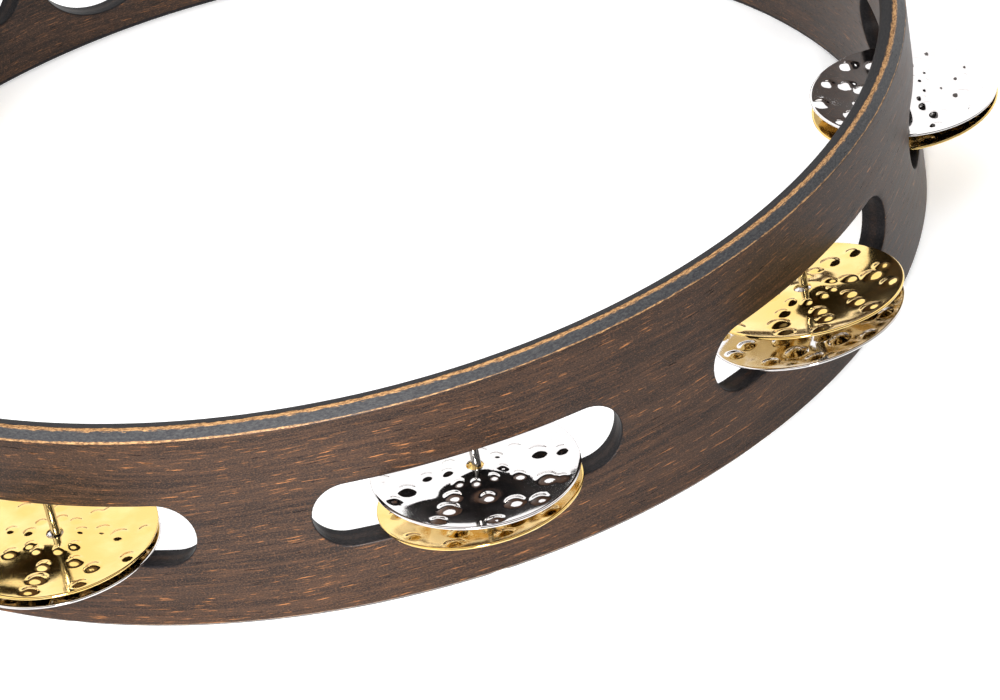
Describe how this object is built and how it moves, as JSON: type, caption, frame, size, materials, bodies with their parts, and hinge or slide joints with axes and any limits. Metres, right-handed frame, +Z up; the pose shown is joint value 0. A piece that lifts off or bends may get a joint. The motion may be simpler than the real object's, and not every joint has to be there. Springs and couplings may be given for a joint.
{
  "type": "tambourine",
  "caption": "Headless wooden hoop tambourine with hammered metal jingles riding on steel pins in slots through its wall, and a thumb hole in its grip.",
  "frame": {"origin": "on the resting plane, under the middle of the outline that hoop and jingles make together; the hoop's own axis stands 8.3 mm from it towards +Y", "axes": "+Z up along the hoop's axis, +X across the hoop, +Y towards the grip"},
  "size_m": [0.2764, 0.2706, 0.0445],
  "materials": {
    "wood": "dark walnut-brown stain under satin lacquer, worn to bare wood on the edges",
    "pin_steel": "plain drawn steel nail",
    "jingle_brass": "polished, hammered",
    "jingle_nickel": "bright nickel plate, hammered"
  },
  "bodies": {
    "hoop": {"hoop": "wood", "pin_1": "pin_steel", "pin_2": "pin_steel", "pin_3": "pin_steel", "pin_4": "pin_steel", "pin_5": "pin_steel", "pin_6": "pin_steel", "pin_7": "pin_steel", "pin_8": "pin_steel", "pin_9": "pin_steel"},
    "jingle_1_upper": {"jingle_1_upper": "jingle_nickel"},
    "jingle_1_lower": {"jingle_1_lower": "jingle_brass"},
    "jingle_2_upper": {"jingle_2_upper": "jingle_brass"},
    "jingle_2_lower": {"jingle_2_lower": "jingle_nickel"},
    "jingle_3_upper": {"jingle_3_upper": "jingle_nickel"},
    "jingle_3_lower": {"jingle_3_lower": "jingle_brass"},
    "jingle_4_upper": {"jingle_4_upper": "jingle_brass"},
    "jingle_4_lower": {"jingle_4_lower": "jingle_nickel"},
    "jingle_5_upper": {"jingle_5_upper": "jingle_nickel"},
    "jingle_5_lower": {"jingle_5_lower": "jingle_brass"},
    "jingle_6_upper": {"jingle_6_upper": "jingle_brass"},
    "jingle_6_lower": {"jingle_6_lower": "jingle_nickel"},
    "jingle_7_upper": {"jingle_7_upper": "jingle_nickel"},
    "jingle_7_lower": {"jingle_7_lower": "jingle_brass"},
    "jingle_8_upper": {"jingle_8_upper": "jingle_brass"},
    "jingle_8_lower": {"jingle_8_lower": "jingle_nickel"},
    "jingle_9_upper": {"jingle_9_upper": "jingle_nickel"},
    "jingle_9_lower": {"jingle_9_lower": "jingle_brass"}
  },
  "joints": [
    {"name": "jingle_1_upper_slide", "type": "slide", "parent": "hoop", "child": "jingle_1_upper", "axis": [0, 0, 1], "range_m": [-0.001, 0.0054]},
    {"name": "jingle_1_lower_slide", "type": "slide", "parent": "hoop", "child": "jingle_1_lower", "axis": [0, 0, 1], "range_m": [-0.0005, 0.001]},
    {"name": "jingle_2_upper_slide", "type": "slide", "parent": "hoop", "child": "jingle_2_upper", "axis": [0, 0, 1], "range_m": [-0.0008, 0.0057]},
    {"name": "jingle_2_lower_slide", "type": "slide", "parent": "hoop", "child": "jingle_2_lower", "axis": [0, 0, 1], "range_m": [-0.0006, 0.0008]},
    {"name": "jingle_3_upper_slide", "type": "slide", "parent": "hoop", "child": "jingle_3_upper", "axis": [0, 0, 1], "range_m": [-0.0014, 0.0039]},
    {"name": "jingle_3_lower_slide", "type": "slide", "parent": "hoop", "child": "jingle_3_lower", "axis": [0, 0, 1], "range_m": [-0.001, 0.0014]},
    {"name": "jingle_4_upper_slide", "type": "slide", "parent": "hoop", "child": "jingle_4_upper", "axis": [0, 0, 1], "range_m": [-0.0005, 0.0084]},
    {"name": "jingle_4_lower_slide", "type": "slide", "parent": "hoop", "child": "jingle_4_lower", "axis": [0, 0, 1], "range_m": [-0.0002, 0.0005]},
    {"name": "jingle_5_upper_slide", "type": "slide", "parent": "hoop", "child": "jingle_5_upper", "axis": [0, 0, 1], "range_m": [-0.001, 0.0036]},
    {"name": "jingle_5_lower_slide", "type": "slide", "parent": "hoop", "child": "jingle_5_lower", "axis": [0, 0, 1], "range_m": [-0.001, 0.001]},
    {"name": "jingle_6_upper_slide", "type": "slide", "parent": "hoop", "child": "jingle_6_upper", "axis": [0, 0, 1], "range_m": [-0.0013, 0.0039]},
    {"name": "jingle_6_lower_slide", "type": "slide", "parent": "hoop", "child": "jingle_6_lower", "axis": [0, 0, 1], "range_m": [-0.0003, 0.0013]},
    {"name": "jingle_7_upper_slide", "type": "slide", "parent": "hoop", "child": "jingle_7_upper", "axis": [0, 0, 1], "range_m": [-0.0002, 0.0085]},
    {"name": "jingle_7_lower_slide", "type": "slide", "parent": "hoop", "child": "jingle_7_lower", "axis": [0, 0, 1], "range_m": [-0.0002, 0.0002]},
    {"name": "jingle_8_upper_slide", "type": "slide", "parent": "hoop", "child": "jingle_8_upper", "axis": [0, 0, 1], "range_m": [-0.0011, 0.0049]},
    {"name": "jingle_8_lower_slide", "type": "slide", "parent": "hoop", "child": "jingle_8_lower", "axis": [0, 0, 1], "range_m": [-0.0006, 0.0011]},
    {"name": "jingle_9_upper_slide", "type": "slide", "parent": "hoop", "child": "jingle_9_upper", "axis": [0, 0, 1], "range_m": [-0.0008, 0.0064]},
    {"name": "jingle_9_lower_slide", "type": "slide", "parent": "hoop", "child": "jingle_9_lower", "axis": [0, 0, 1], "range_m": [-0.0003, 0.0008]}
  ]
}
